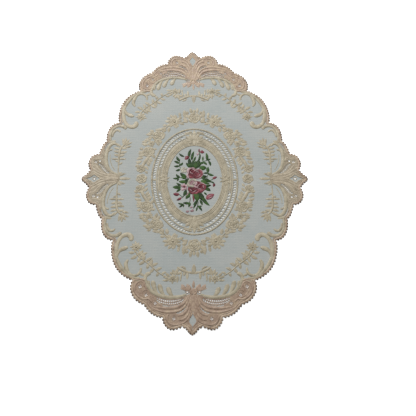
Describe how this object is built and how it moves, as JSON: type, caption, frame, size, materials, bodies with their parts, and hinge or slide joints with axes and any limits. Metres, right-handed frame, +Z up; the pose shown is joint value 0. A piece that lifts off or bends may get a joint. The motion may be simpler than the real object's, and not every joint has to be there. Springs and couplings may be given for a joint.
{
  "type": "lace doily",
  "caption": "Embroidered cutwork doily that lies flat: a scalloped oval cloth with a corded picot edge, pierced slots, raised scrolls and a bouquet in an oval medallion.",
  "frame": {"origin": "middle of the cloth's underside, on the surface it lies on", "axes": "+Z up out of the face, +Y along the length towards the far end tip, +X across the width"},
  "size_m": [0.3, 0.43, 0.0019],
  "materials": {
    "ground_cloth": "matt pale grey-blue woven ground",
    "beige_thread": "beige rayon thread with a soft sheen",
    "rose_thread": "crimson to pale pink rayon thread",
    "leaf_thread": "dark green rayon thread"
  },
  "bodies": {
    "root": {"doily_cloth": "ground_cloth"}
  },
  "joints": []
}
